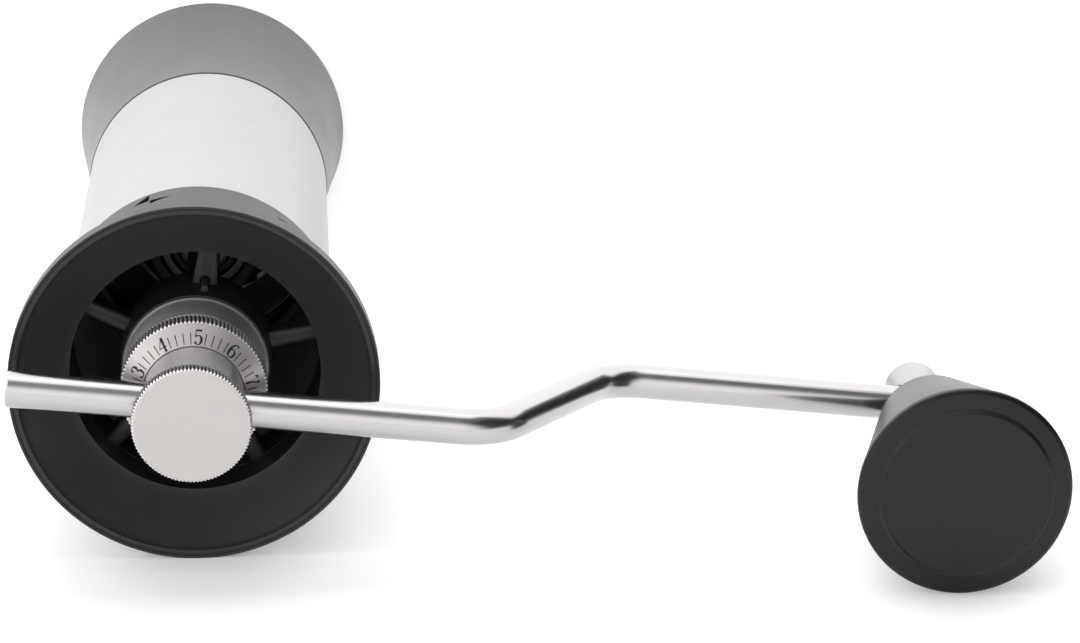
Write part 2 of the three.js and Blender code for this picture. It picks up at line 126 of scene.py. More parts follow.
def rounded(outline, steps=4, ring=None):
    """Rounds each corner of an outline that is written as (across, up, fillet)."""
    ring = outline[0][0] > 0 if ring is None else ring
    flat = [corner[:2] for corner in outline]
    points = []
    for index, corner in enumerate(outline):
        is_end = not ring and index in (0, len(outline) - 1)
        if len(corner) < 3 or is_end:
            points.append(corner[:2])
            continue
        before = flat[index - 1]
        after = flat[(index + 1) % len(flat)]
        points.extend(arc_points(before, corner[:2], after, corner[2], steps))
    return points


def ring_outline(inside, outside, low, high, fillet):
    return [(inside, low, fillet), (outside, low, fillet), (outside, high, fillet), (inside, high, fillet)]


def rod_outline(radius, low, high, fillet=0.0):
    fillets = (fillet,) if fillet else ()
    return [(0, low), (radius, low, *fillets), (radius, high, *fillets), (0, high)]


def turned(name, outline, segments=SEGMENTS, axis_x=0, wave=None, twist=None, steps=4):
    """Turns an outline of (radius, height, fillet) about an upright axis. wave(radius, height, angle) adds
    to the radius, and twist(radius, height) turns that whole ring."""
    outline = rounded(outline, steps)
    points = []
    rings = []
    for radius, height in outline:
        if radius == 0:
            rings.append([len(points)] * segments)
            points.append((axis_x, 0, height))
            continue
        rings.append(range(len(points), len(points) + segments))
        for step in range(segments):
            angle = math.tau * step / segments
            out = radius + (wave(radius, height, angle) if wave else 0)
            angle += twist(radius, height) if twist else 0
            points.append((axis_x + out * math.cos(angle), out * math.sin(angle), height))
    pairs = list(zip(rings, rings[1:]))
    if outline[0][0] > 0:
        pairs.append((rings[-1], rings[0]))
    faces = []
    for lower, upper in pairs:
        for step in range(segments):
            after = (step + 1) % segments
            corners = dict.fromkeys((lower[step], lower[after], upper[after], upper[step]))
            faces.append(list(corners))
    return mesh_piece(name, points, faces, axis_x)


def swept(name, path, radius, sides, chamfer=0):
    """A round bar along a path of points in mm, with chamfered ends where it has a chamfer."""
    path = [Vector(point) for point in path]
    if chamfer:
        first = (path[1] - path[0]).normalized() * chamfer
        last = (path[-1] - path[-2]).normalized() * chamfer
        path = [path[0], path[0] + first, *path[1:-1], path[-1] - last, path[-1]]
    end = len(path) - 1
    points = []
    side = (path[1] - path[0]).normalized().orthogonal().normalized()
    for index, point in enumerate(path):
        ahead = (path[min(index + 1, end)] - path[max(index - 1, 0)]).normalized()
        side = (side - ahead * side.dot(ahead)).normalized()
        over = ahead.cross(side)
        size = radius - chamfer if index in (0, end) else radius
        for step in range(sides):
            angle = math.tau * step / sides
            points.append(point + (side * math.cos(angle) + over * math.sin(angle)) * size)
    faces = []
    for here in range(0, end * sides, sides):
        for step in range(sides):
            after = (step + 1) % sides
            faces.append((here + step, here + after, here + sides + after, here + sides + step))
    faces += [list(range(sides)), list(range(end * sides, (end + 1) * sides))]
    return mesh_piece(name, points, faces)


def between(name, first, second):
    """A closed body between two matching outlines of points in mm."""
    count = len(first)
    faces = [list(range(count)), list(range(count, 2 * count))]
    for step in range(count):
        after = (step + 1) % count
        faces.append((step, after, count + after, count + step))
    return mesh_piece(name, [*first, *second], faces)


def prism(name, outline, low, high):
    """Extrudes an outline of (x, y) points from one height to another."""
    return between(name, [(x, y, low) for x, y in outline], [(x, y, high) for x, y in outline])


def combine(target, tool, operation="DIFFERENCE"):
    """Applies one solid to another and removes the tool."""
    modifier = target.modifiers.new("combine", "BOOLEAN")
    modifier.object = tool
    modifier.operation = operation
    modifier.solver = "EXACT"
    bpy.context.view_layer.update()
    made = bpy.data.meshes.new_from_object(target.evaluated_get(bpy.context.evaluated_depsgraph_get()))
    target.modifiers.clear()
    target.data = made
    bpy.data.objects.remove(tool)
    return target


def gather(name, pieces):
    """Joins separate closed shells into one piece."""
    joined = bmesh.new()
    for piece in pieces:
        piece.data.transform(piece.matrix_world)
        joined.from_mesh(piece.data)
        bpy.data.objects.remove(piece)
    mesh = bpy.data.meshes.new(name)
    joined.to_mesh(mesh)
    joined.free()
    whole = bpy.data.objects.new(name, mesh)
    bpy.context.scene.collection.objects.link(whole)
    return whole


def lay(piece, centre, axis):
    """Turns a piece from upright to an axis, and moves it to a centre in mm."""
    piece.matrix_world = Matrix.Translation(Vector(centre) * MM) @ Matrix.Rotation(math.pi / 2, 4, axis)
    return piece


def drill(piece, centre, radius, half_length, axis, segments=SMALL_SEGMENTS):
    """Cuts a cross hole through a piece."""
    rod = turned("hole", rod_outline(radius, -half_length, half_length), segments)
    return combine(piece, lay(rod, centre, axis))


def stand_for(piece, node, material):
    """Puts a finished piece on the body of the CAD node that it replaces."""
    piece.data.materials.clear()
    piece.data.materials.append(material)
    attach(piece, body_of[node])
    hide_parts(node)
    return piece


# ---------------------------------------------------------------- material helpers


def add_node(material, kind, inputs=None, **settings):
    made = material.node_tree.nodes.new(kind)
    for key, value in settings.items():
        setattr(made, key, value)
    for socket, value in (inputs or {}).items():
        if isinstance(value, bpy.types.NodeSocket):
            material.node_tree.links.new(value, made.inputs[socket])
        else:
            made.inputs[socket].default_value = value
    return made


def new_material(name, **sockets):
    """A material with one Principled shader, whose even values are set on its own sockets."""
    material = bpy.data.materials.new(name)
    material.use_nodes = True
    shader = material.node_tree.nodes["Principled BSDF"]
    for socket, value in sockets.items():
        shader.inputs[socket.replace("_", " ")].default_value = value
    return material


def drive(material, socket, output):
    shader = material.node_tree.nodes["Principled BSDF"]
    material.node_tree.links.new(output, shader.inputs[socket])


def own_place(material):
    """The piece's own coordinates, in metres."""
    return add_node(material, "ShaderNodeTexCoord").outputs["Object"]


def calculate(material, operation, first, second=0.0):
    return add_node(material, "ShaderNodeMath", {0: first, 1: second}, operation=operation).outputs[0]


def mapped(material, value, source, target=(0, 1), **settings):
    """Maps a value from one range on to another."""
    ends = {"From Min": source[0], "From Max": source[1], "To Min": target[0], "To Max": target[1]}
    return add_node(material, "ShaderNodeMapRange", {"Value": value, **ends}, **settings).outputs["Result"]


def mixed(material, factor, first, second):
    """A colour between two, each of them plain or another node's."""
    return add_node(material, "ShaderNodeMix", {0: factor, 6: first, 7: second}, data_type="RGBA").outputs[2]


def axis_distance(material):
    """The distance from the piece's upright axis, with the X, Y and Z that it comes from."""
    place = own_place(material)
    parts = add_node(material, "ShaderNodeSeparateXYZ", {0: place}).outputs
    flat = add_node(material, "ShaderNodeVectorMath", {0: place, 1: (1, 1, 0)}, operation="MULTIPLY")
    radius = add_node(material, "ShaderNodeVectorMath", {0: flat.outputs[0]}, operation="LENGTH")
    return radius.outputs["Value"], parts


def ring_place(material, across, around):
    """Coordinates that run fast along radius and height and slowly round the upright axis."""
    radius, parts = axis_distance(material)
    depth = calculate(material, "ADD", radius, parts["Z"])
    fast = calculate(material, "MULTIPLY", depth, across)
    slow_x = calculate(material, "MULTIPLY", parts["X"], around)
    slow_y = calculate(material, "MULTIPLY", parts["Y"], around)
    return add_node(material, "ShaderNodeCombineXYZ", {0: slow_x, 1: slow_y, 2: fast}).outputs[0]


def noise(material, scale, detail, place=None):
    inputs = {"Vector": place or own_place(material), "Scale": scale, "Detail": detail}
    return add_node(material, "ShaderNodeTexNoise", inputs).outputs["Fac"]


def spread(material, value, middle, swing):
    """Maps a noise value, which mostly lies between 0.3 and 0.7, on to a range about a middle."""
    return mapped(material, value, (0.3, 0.7), (middle - swing, middle + swing))


def shade_between(material, value, dark, light):
    return mixed(material, value, (*dark, 1), (*light, 1))


def bump(material, height, distance):
    return add_node(material, "ShaderNodeBump", {"Height": height, "Distance": distance}).outputs["Normal"]


def scaled(colour, factor):
    return tuple(min(1, part * factor) for part in colour)


KNURL_DEPTH = 0.5
CREST = 0.05  # how far the crest of a tooth, kept free of painted shade, reaches in from the rim
PAINTED_HIGHLIGHT_REACH = 0.5  # how far the painted highlight on the edge over the teeth reaches in from the rim
PAINTED_HIGHLIGHT_COLOUR = (0.78, 0.76, 0.76, 1)
PAINTED_SHADE_COLOUR = (0.012, 0.011, 0.011, 1)


def knurl_painted_light(material, colour, rim, high):
    """Painted shade in the grooves of a knurl that ends at a height, and a painted highlight on the edge
    over it.
    """
    radius, parts = axis_distance(material)
    below = calculate(material, "LESS_THAN", parts["Z"], high * MM)
    over = calculate(material, "SUBTRACT", 1.0, below)
    # painted shade, darker the deeper into a groove
    painted_shade_depth = mapped(material, radius, ((rim - CREST) * MM, (rim - KNURL_DEPTH) * MM))
    # painted highlight on the edge over the teeth
    outer = calculate(material, "GREATER_THAN", radius, (rim - PAINTED_HIGHLIGHT_REACH) * MM)
    edge = calculate(material, "MULTIPLY", outer, over)
    painted_shade = calculate(material, "MULTIPLY", painted_shade_depth, below)
    return mixed(material, painted_shade, mixed(material, edge, colour, PAINTED_HIGHLIGHT_COLOUR), PAINTED_SHADE_COLOUR)


# ---------------------------------------------------------------- materials


def moulded_plastic(name, colour, roughness, gloss):
    """Black moulded plastic: a fine even grain, and slow changes of tone and gloss from the mould."""
    grain, relief = 0.00035, 0.000012
    material = new_material(name, Specular_IOR_Level=gloss)
    slow = noise(material, 45, 3)
    fine = noise(material, 1 / grain, 2)
    drive(material, "Base Color", shade_between(material, slow, scaled(colour, 0.85), scaled(colour, 1.15)))
    drive(material, "Roughness", spread(material, slow, roughness, 0.03))
    drive(material, "Normal", bump(material, fine, relief))
    return material


def turned_metal(name, colour, roughness, line=0.0003, relief=0.000004, pull=0.6, knurled=None):
    """Metal turned round the upright axis: fine rings, and light pulled out across them. knurled is the
    rim's radius and the upper end of the teeth, in mm."""
    material = new_material(name, Metallic=1.0, Anisotropic=pull, Anisotropic_Rotation=0.25)
    rings = noise(material, 1, 3, ring_place(material, 1 / line, 60))
    slow = noise(material, 60, 2)
    shade = shade_between(material, slow, scaled(colour, 0.95), colour)
    # a knurled piece gets painted shade in its grooves and a painted highlight on the edge above them
    drive(material, "Base Color", knurl_painted_light(material, shade, *knurled) if knurled else shade)
    drive(material, "Roughness", spread(material, rings, roughness, 0.05))
    drive(material, "Normal", bump(material, rings, relief))
    tangent = add_node(material, "ShaderNodeTangent", direction_type="RADIAL", axis="Z")
    drive(material, "Tangent", tangent.outputs["Tangent"])
    return material


def blasted_metal(name, colour, roughness, relief=0.000004, knurled=None):
    """Bead-blasted or polished metal with no direction."""
    grain = 0.00025
    material = new_material(name, Metallic=1.0)
    fine = noise(material, 1 / grain, 2)
    slow = noise(material, 120, 3)
    shade = shade_between(material, slow, scaled(colour, 0.97), colour)
    # a knurled piece gets painted shade in its grooves and a painted highlight on the edge above them
    drive(material, "Base Color", knurl_painted_light(material, shade, *knurled) if knurled else shade)
    drive(material, "Roughness", spread(material, fine, roughness, 0.04))
    drive(material, "Normal", bump(material, fine, relief))
    return material


def soft_solid(name, colour, roughness, grain, relief, see_through=0.0):
    """Rubber, nylon or ink: a dull skin with a slight mottle."""
    material = new_material(name, Subsurface_Weight=see_through)
    mottle = noise(material, 1 / grain, 3)
    dark, light = scaled(colour, 0.88), scaled(colour, 1.08)
    drive(material, "Base Color", shade_between(material, mottle, dark, light))
    drive(material, "Roughness", spread(material, mottle, roughness, 0.05))
    drive(material, "Normal", bump(material, mottle, relief))
    return material


cup_black = moulded_plastic("cup_black", (0.022, 0.022, 0.022), 0.31, 0.72)
shell_black = moulded_plastic("shell_black", (0.021, 0.021, 0.021), 0.38, 0.33)
knob_black = moulded_plastic("knob_black", (0.003, 0.003, 0.003), 0.36, 0.33)
tube_steel = turned_metal("tube_steel", (0.485, 0.485, 0.485), 0.36, pull=0.75)
bar_steel = blasted_metal("bar_steel", (0.50, 0.486, 0.486), 0.22, relief=0.0000003)
ferrule_steel = turned_metal("ferrule_steel", (0.47, 0.46, 0.46), 0.32, pull=0.7)
dial_steel = turned_metal("dial_steel", (0.52, 0.496, 0.492), 0.40, line=0.0002, pull=0.85,
                          knurled=(reach("adjustment_dial"), 224.85))
hub_steel = turned_metal("hub_steel", (0.60, 0.58, 0.58), 0.36, pull=0.92)
sleeve_steel = turned_metal("sleeve_steel", (0.48, 0.47, 0.47), 0.42,
                            line=0.0006, relief=0.00002, pull=0.88)
cap_steel = blasted_metal("cap_steel", (0.50, 0.481, 0.476), 0.46,
                          knurled=(reach("lock_cap"), top("lock_cap") - 0.55))
burr_steel = turned_metal("burr_steel", (0.40, 0.40, 0.41), 0.34, pull=0.4)
race_steel = turned_metal("race_steel", (0.09, 0.09, 0.095), 0.26, pull=0.3)
bearing_steel = turned_metal("bearing_steel", (0.34, 0.34, 0.35), 0.24, pull=0.3)
alloy = turned_metal("alloy", (0.24, 0.24, 0.25), 0.42, line=0.0005, relief=0.000008, pull=0.5)
bronze = turned_metal("bronze", (0.26, 0.18, 0.09), 0.42, pull=0.4)
cage_brown = soft_solid("cage_brown", (0.03, 0.02, 0.012), 0.45, 0.0008, 0.000004)
seal_rubber = soft_solid("seal_rubber", (0.012, 0.012, 0.012), 0.7, 0.0008, 0.00001)
nylon = soft_solid("nylon", (0.72, 0.70, 0.65), 0.45, 0.002, 0.000005, see_through=0.3)
ink = soft_solid("ink", (0.006, 0.006, 0.006), 0.55, 0.0004, 0.000002)


# ---------------------------------------------------------------- shells


def catch_cup():
    base = reach("catch_cup")
    height = top("catch_cup")
    mouth = reach("body_tube") + 0.2
    inside_mouth = mouth - 2.3
    wall = 2.3
    floor = 3
    foot = 0.5  # how far the base is let in inside its foot ring
    flare = 1.3
    steps = 24

    def side(level):
        return mouth + (base - mouth) * (1 - level / height) ** flare

    outline = [(0, foot), (base - 5, foot, 0.4), (base - 4.4, 0, 0.3), (base, 0, 1.0)]
    outline += [(side(height * i / steps), height * i / steps) for i in range(2, steps)]
    outline += [(mouth, height, 0.5), (inside_mouth, height, 0.4)]
    levels = [floor + (height - floor) * i / steps for i in range(steps - 1, 2, -1)]
    outline += [(max(inside_mouth, side(level) - wall), level) for level in levels]
    outline += [(side(floor) - wall, floor, 4), (0, floor)]
    stand_for(smooth(turned("cup_shell", outline)), "catch_cup", cup_black)


def body_tube():
    outside = reach("body_tube")
    inside = outside - 1.6
    low, high = span("body_tube")
    outline = [(inside, low, 0.2), (outside, low, 0.25), (outside, high, 0.2), (inside, high, 0.2)]
    stand_for(smooth(turned("tube_shell", outline)), "body_tube", tube_steel)


FUNNEL_BOTTOM = bottom("funnel")
COLLAR_INSIDE = 28 + GAP
ARM_COUNT = 5
FIRST_ARM = math.radians(88.6)
PIN_RADIUS = 0.9
PIN_REACH = 17.8  # from the grinding axis to the index pin
MARK_DEPTH = 0.6
# Corners of the three shallow marks in the collar, as degrees round it and height.
COLLAR_MARKS = [
    [(122.1, 179.5), (115.2, 174.8), (115.2, 179.6)],
    [(114.6, 179.5), (105.8, 180.1), (114.6, 182.1)],
    [(60.6, 180.9), (54.5, 179.0), (60.0, 179.9)],
]


def pin_place():
    """The index pin stands in the first arm, half let into the hub's wall."""
    return Vector((PIN_REACH * math.cos(FIRST_ARM), PIN_REACH * math.sin(FIRST_ARM), 0)) * MM


def spider_arm(index):
    """One arm of the spider, with rounded upper edges. The first is wider at the hub."""
    inner, outer = reach("bearing_sleeve") + GAP + 0.4, COLLAR_INSIDE + 1
    inner_half, outer_half = (2.9 if index == 0 else 1.95), 1.95
    low, high = 194, FUNNEL_BOTTOM - GAP
    section = rounded([(-1, low, 0.4), (1, low, 0.4), (1, high, 0.9), (-1, high, 0.9)], 4, ring=True)
    ends = [(inner, inner_half), (outer, outer_half)]
    turn = Matrix.Rotation(FIRST_ARM + math.tau * index / ARM_COUNT, 3, "Z")
    rings = []
    for along, half in ends:
        rings.append([turn @ Vector((along, side * half, height)) for side, height in section])
    return between("arm", *rings)


def wedge(outline):
    """A cutter for a shallow mark in the collar, from (degrees, height) points."""
    outside = reach("spider_collar")
    turns = [(math.radians(degrees), height) for degrees, height in outline]
    rings = []
    for radius in (outside - MARK_DEPTH, outside + 1):
        rings.append([(radius * math.cos(turn), radius * math.sin(turn), height) for turn, height in turns])
    return between("wedge", *rings)


def spider_collar():
    outside = reach("spider_collar")
    tube = reach("body_tube") + GAP
    tube_top = top("body_tube") + GAP
    high = FUNNEL_BOTTOM - GAP
    low = bottom("spider_collar")
    bore = reach("bearing_sleeve") + GAP
    collar = turned("collar_spider", [
        (tube, low, 0.2),
        (outside, low, 0.5),
        (outside, high, 0.3),
        (COLLAR_INSIDE, high, 0.3),
        (COLLAR_INSIDE, tube_top),
        (tube, tube_top),
    ])
    hub_outside, hub_low = 17.1, 191
    lip, lip_high = bore + 0.55, top("index_pin") + 1.4
    hub = turned("hub", [
        (bore, hub_low, 0.2),
        (hub_outside, hub_low, 0.4),
        (hub_outside, FUNNEL_BOTTOM, 0.4),
        (lip, lip_high, 0.3),
        (bore, lip_high, 0.15),
    ])
    for index in range(ARM_COUNT):
        hub = combine(hub, spider_arm(index), "UNION")
    combine(collar, hub, "UNION")
    hole_low, hole_radius = bottom("index_pin") - GAP, PIN_RADIUS + GAP
    over = 210  # the hole's cutter ends above everything
    hole = turned("pin_hole", rod_outline(hole_radius, hole_low, over), PIN_SEGMENTS)
    hole.location = pin_place()
    combine(collar, hole)
    for mark in COLLAR_MARKS:
        combine(collar, wedge(mark))
    stand_for(smooth(collar), "spider_collar", shell_black)


def funnel():
    rim = reach("funnel")
    high = top("funnel")
    throat = COLLAR_INSIDE - GAP
    throat_high = 211.3
    band = high - 4.8
    collar = reach("spider_collar")
    low = FUNNEL_BOTTOM
    dish_outside = rim - 2.1
    dish_high = high - 1.0
    steps = 16
    outline = [
        (COLLAR_INSIDE, low, 0.2),
        (collar, low, 0.4),
        (collar + 0.9, low + 4, 6),
        (collar + 3.2, low + 9.4, 8),
        (rim - 1.2, band - 1, 0.8),
        (rim, band, 0.3),
        (rim, high, 0.45),
        (rim - 0.55, high - 0.12, 0.2),
        (rim - 0.75, high - 0.45, 0.1),
        (rim - 1.0, high - 0.25, 0.25),
        (rim - 1.9, high - 0.35, 0.3),
    ]
    for i in range(steps, -1, -1):
        along = i / steps
        height = throat_high + (dish_high - throat_high) * along ** 1.2
        outline.append((throat + (dish_outside - throat) * along, height))
    outline.append((throat, throat_high - 1.5, 0.5))
    stand_for(smooth(turned("funnel_shell", outline)), "funnel", shell_black)


def index_pin():
    outline = [
        (0, bottom("index_pin")),
        (PIN_RADIUS, bottom("index_pin"), 0.1),
        (PIN_RADIUS, top("index_pin"), 0.3),
        (0, top("index_pin")),
    ]
    pin = turned("index_pin_rod", outline, PIN_SEGMENTS)
    pin.location = pin_place()
    stand_for(smooth(pin), "index_pin", shell_black)


# ---------------------------------------------------------------- grinding chamber


def turned_part(node, outline, material, segments=SMALL_SEGMENTS, axis_x=0):
    """A plain turned piece in place of its CAD node."""
    piece = turned(f"{node}_turned", outline, segments, axis_x)
    return stand_for(smooth(piece), node, material)


def washer(node, inside, material, axis_x=0):
    """A flat ring or bush, rounded at its four edges."""
    low, high = span(node)
    outside = (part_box(node)[1].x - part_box(node)[0].x) / 2 / MM
    turned_part(node, ring_outline(inside, outside, low, high, 0.2), material, axis_x=axis_x)


def burr_carrier():
    outside = reach("burr_carrier")
    low, high = span("burr_carrier")
    spigot, spigot_inside = 28.4, 24.8
    groove_radius, groove_low, groove_high = 26.9, 52.7, 54.9
    shoulder = 59.9
    burr_room = reach("ring_burr") + GAP
    seat = top("ring_burr") + GAP
    ledge = bottom("ring_burr") - GAP
    feed, lip, edge = 21.8, 1.2, 0.5
    turned_part("burr_carrier", [
        (spigot_inside, low, 0.3),
        (spigot, low, 0.5),
        (spigot, groove_low, 0.15),
        (groove_radius, groove_low, 0.15),
        (groove_radius, groove_high, 0.15),
        (spigot, groove_high, 0.15),
        (spigot, shoulder, 0.2),
        (outside, shoulder, 0.3),
        (outside, high, 0.2),
        (outside - edge, high, 0.15),
        (feed, seat + lip, 0.4),
        (feed, seat, 0.2),
        (burr_room, seat),
        (burr_room, ledge),
        (spigot_inside, ledge, 0.2),
    ], alloy, SEGMENTS)


def cup_o_ring():
    centre, wire, level = 27.9, 0.7, 53.8
    sides = 20
    turns = [math.tau * i / sides for i in range(sides)]
    section = [(centre + wire * math.cos(turn), level + wire * math.sin(turn)) for turn in turns]
    turned_part("cup_o_ring", section, seal_rubber, SEGMENTS)


def burr_retaining_ring():
    low, high = span("burr_retaining_ring")
    outside = reach("burr_retaining_ring")
    inside = 21
    section = [(inside, low, 0.3), (outside, low, 0.3), (outside, high, 0.15), (inside, high, 0.15)]
    ring = turned("retaining_ring", section)
    half, depth, notch_inner, notch_outer = 2, 1.2, 21.8, 30
    for side in (1, -1):
        near, far = sorted((side * notch_inner, side * notch_outer))
        notch = [(-half, near), (half, near), (half, far), (-half, far)]
        combine(ring, prism("notch", notch, low - 1, low + depth))
    stand_for(smooth(ring), "burr_retaining_ring", alloy)


FLUTES = 12
FLUTE_FACETS = 24  # facets round each coarse flute
FINE_TEETH = 4  # fine teeth to each coarse flute, on the grinding side of the throat
FINE_DEPTH = 0.45  # of a coarse flute's full depth
THROAT_DEPTH = 0.5  # how deep a coarse flute is at the throat, as a share of its full depth
BURR_THROAT = 71


def burr_teeth(depth, is_cutting, feed_end):
    """Coarse flutes that grow towards the feed end, and fine teeth below the throat."""

    def wave(radius, height, angle):
        if not is_cutting(radius):
            return 0
        flute = angle / math.tau * FLUTES % 1
        if height < BURR_THROAT:
            return depth * FINE_DEPTH * (flute * FINE_TEETH % 1)
        grown = min(1, (height - BURR_THROAT) / (feed_end - BURR_THROAT) + THROAT_DEPTH)
        return depth * grown * flute

    return wave


def burr_twist(is_cutting, lean):
    """Leans the flutes by an angle for each mm of height."""

    def twist(radius, height):
        return lean * (height - BURR_THROAT) if is_cutting(radius) else 0

    return twist


def slopes(corners, counts):
    """An outline's corners, with each side between two of them divided into a count of equal parts."""
    points = [corners[0]]
    for lower, upper, count in zip(corners, corners[1:], counts):
        points += [tuple(Vector(lower).lerp(Vector(upper), step / count)) for step in range(1, count)]
        points.append(upper)
    return points


def ring_burr():
    outside = reach("ring_burr")
    low, high = span("ring_burr")
    inside_low, inside_throat, inside_high = 19.2, 16.3, 20.6

    def is_cutting(radius):
        return radius < outside - 1

    inner = slopes([(inside_high, high), (inside_throat, BURR_THROAT), (inside_low, low)], (16, 10))
    outline = [(outside, low, 0.3), (outside, high, 0.3), *inner]
    wave = burr_teeth(1.2, is_cutting, high)
    twist = burr_twist(is_cutting, 0.017)
    burr = turned("ring_burr_cut", outline, FLUTES * FLUTE_FACETS, wave=wave, twist=twist)
    stand_for(smooth(burr, 28), "ring_burr", burr_steel)


def cone_burr():
    low, high = span("cone_burr")
    bore = SHAFT_BORE
    wide, throat, narrow = 17.8, 15.0, 8.2

    def is_cutting(radius):
        return radius > bore + 1

    corners = [(wide, low), (wide, low + 3), (throat, BURR_THROAT), (narrow, high)]
    outline = [(bore, high, 0.2), (bore, low, 0.2), *slopes(corners, (4, 10, 20))]
    wave = burr_teeth(-1.3, is_cutting, high)
    twist = burr_twist(is_cutting, -0.023)
    burr = turned("cone_burr_cut", outline, FLUTES * FLUTE_FACETS, wave=wave, twist=twist)
    stand_for(smooth(burr, 28), "cone_burr", burr_steel)


def hexagon(across):
    """Corners of a hexagon whose opposite corners are this far apart."""
    turns = [math.tau * i / 6 for i in range(6)]
    return [(across / 2 * math.cos(turn), across / 2 * math.sin(turn)) for turn in turns]


def burr_bolt():
    low, high = span("burr_bolt")
    head_high, head_corner, radius = 58.9, 5, 2.4
    flat = head_corner - 0.8
    over, buried = 60, 58  # the cutter ends above the head, and the shank starts inside it
    head = prism("head", hexagon(2 * head_corner), low, head_high)
    bevel = [(0, low), (flat, low), (head_corner + 0.3, low + 0.7), (6, over), (0, over)]
    combine(head, turned("bevel", bevel, SMALL_SEGMENTS), "INTERSECT")
    shank = turned("shank", [(0, buried), (radius, buried), (radius, high, 0.5), (0, high)], SMALL_SEGMENTS)
    combine(head, shank, "UNION")
    stand_for(smooth(head), "burr_bolt", bearing_steel)


# ---------------------------------------------------------------- shaft and bearings


SHAFT_RADIUS = 4
SHAFT_BORE = SHAFT_RADIUS + GAP  # in every piece that the shaft passes through
WASHER_BORE = SHAFT_BORE + GAP
BURR_BOLT_BORE = 2.7
BAR_RADIUS = 4
PIN_LEVEL = 223.4  # height of the cross pin that drives the shaft
CROSS_PIN_RADIUS = 1.2
PIN_BORE = CROSS_PIN_RADIUS + GAP
BRIDGE_ARMS = 3
BEARING_WIDTH = 7
BEARING_RADIUS = 11
BALL_PITCH = 7.75
BALL_RADIUS = 1.75
BALL_ROOM = BALL_RADIUS + 0.1  # in the races and in the cage's pockets
BALL_COUNT = 9


def drive_shaft():
    low, high = span("drive_shaft")
    radius, bore, bore_high = SHAFT_RADIUS, BURR_BOLT_BORE, 69
    flange, flange_low, flange_high = 6.5, 89.3, 91.3
    shaft = turned("shaft_rod", [
        (0, bore_high),
        (bore, bore_high - 1.2),
        (bore, low, 0.3),
        (radius, low, 0.5),
        (radius, flange_low, 0.2),
        (flange, flange_low, 0.3),
        (flange, flange_high, 0.3),
        (radius, flange_high, 0.4),
        (radius, high, 0.6),
        (0, high),
    ])
    drill(shaft, (0, 0, PIN_LEVEL), PIN_BORE, 10, "X", PIN_SEGMENTS)
    stand_for(smooth(shaft), "drive_shaft", bearing_steel)


def hub_pin():
    half, radius = reach("hub_pin"), CROSS_PIN_RADIUS
    pin = turned("pin_rod", rod_outline(radius, -half, half, 0.3), PIN_SEGMENTS)
    stand_for(smooth(lay(pin, (0, 0, PIN_LEVEL), "X")), "hub_pin", bearing_steel)


def lower_bridge():
    outside = reach("lower_bridge")
    low, high = span("lower_bridge")
    lip, hub_radius, bore = 7.2, 14, BEARING_RADIUS + GAP
    seat = bottom("lower_bearing_outer_race") - GAP
    bridge = turned("bridge_spider", [
        (lip, low, 0.3),
        (hub_radius, low, 0.8),
        (hub_radius, high, 0.6),
        (bore, high, 0.2),
        (bore, seat),
        (lip, seat, 0.2),
    ])
    half, middle, inside = 3, 109, 27
    ring_low, ring_high = middle - half, middle + half
    ring = turned("ring", [
        (inside, ring_low, 0.6),
        (outside, ring_low, 0.3),
        (outside, ring_high, 0.3),
        (inside, ring_high, 0.6),
    ])
    section = [(-half, -half, 0.8), (half, -half, 0.8), (half, half, 0.8), (-half, half, 0.8)]
    section = rounded(section, ring=True)
    for index in range(BRIDGE_ARMS):
        arm = prism("arm", section, bore + 1, inside + 1)
        turn = Matrix.Rotation(math.tau * index / BRIDGE_ARMS, 4, "Z") @ Matrix.Rotation(math.pi / 2, 4, "Y")
        arm.matrix_world = Matrix.Translation((0, 0, middle * MM)) @ turn
        ring = combine(ring, arm, "UNION")
    combine(bridge, ring, "UNION")
    stand_for(smooth(bridge), "lower_bridge", shell_black)


def groove(bulge_side, radius, base):
    """Points of the ball groove in a race, from its lower edge to its upper edge."""
    middle = base + BEARING_WIDTH / 2
    half = math.acos(abs(BALL_PITCH - radius) / BALL_ROOM)
    steps = 16
    turns = [half * (2 * i / steps - 1) for i in range(steps + 1)]
    across = bulge_side * BALL_ROOM
    return [(BALL_PITCH + across * math.cos(t), middle + BALL_ROOM * math.sin(t)) for t in turns]


def bearing(place):
    """Deep-groove bearing: two races, and a cage with its balls."""
    node = f"{place}_bearing"
    base = bottom(f"{node}_outer_race")
    high = base + BEARING_WIDTH
    outside, inside = BEARING_RADIUS, 8.9
    turned_part(f"{node}_outer_race", [
        (inside, high, 0.2),
        *reversed(groove(1, inside, base)),
        (inside, base, 0.2),
        (outside, base, 0.4),
        (outside, high, 0.4),
    ], race_steel, SEGMENTS)
    base = bottom(f"{node}_inner_race")
    high = base + BEARING_WIDTH
    bore, outside = SHAFT_BORE, 6.6
    turned_part(f"{node}_inner_race", [
        (bore, base, 0.3),
        (outside, base, 0.2),
        *groove(-1, outside, base),
        (outside, high, 0.2),
        (bore, high, 0.3),
    ], race_steel, SEGMENTS)
    cage(node)


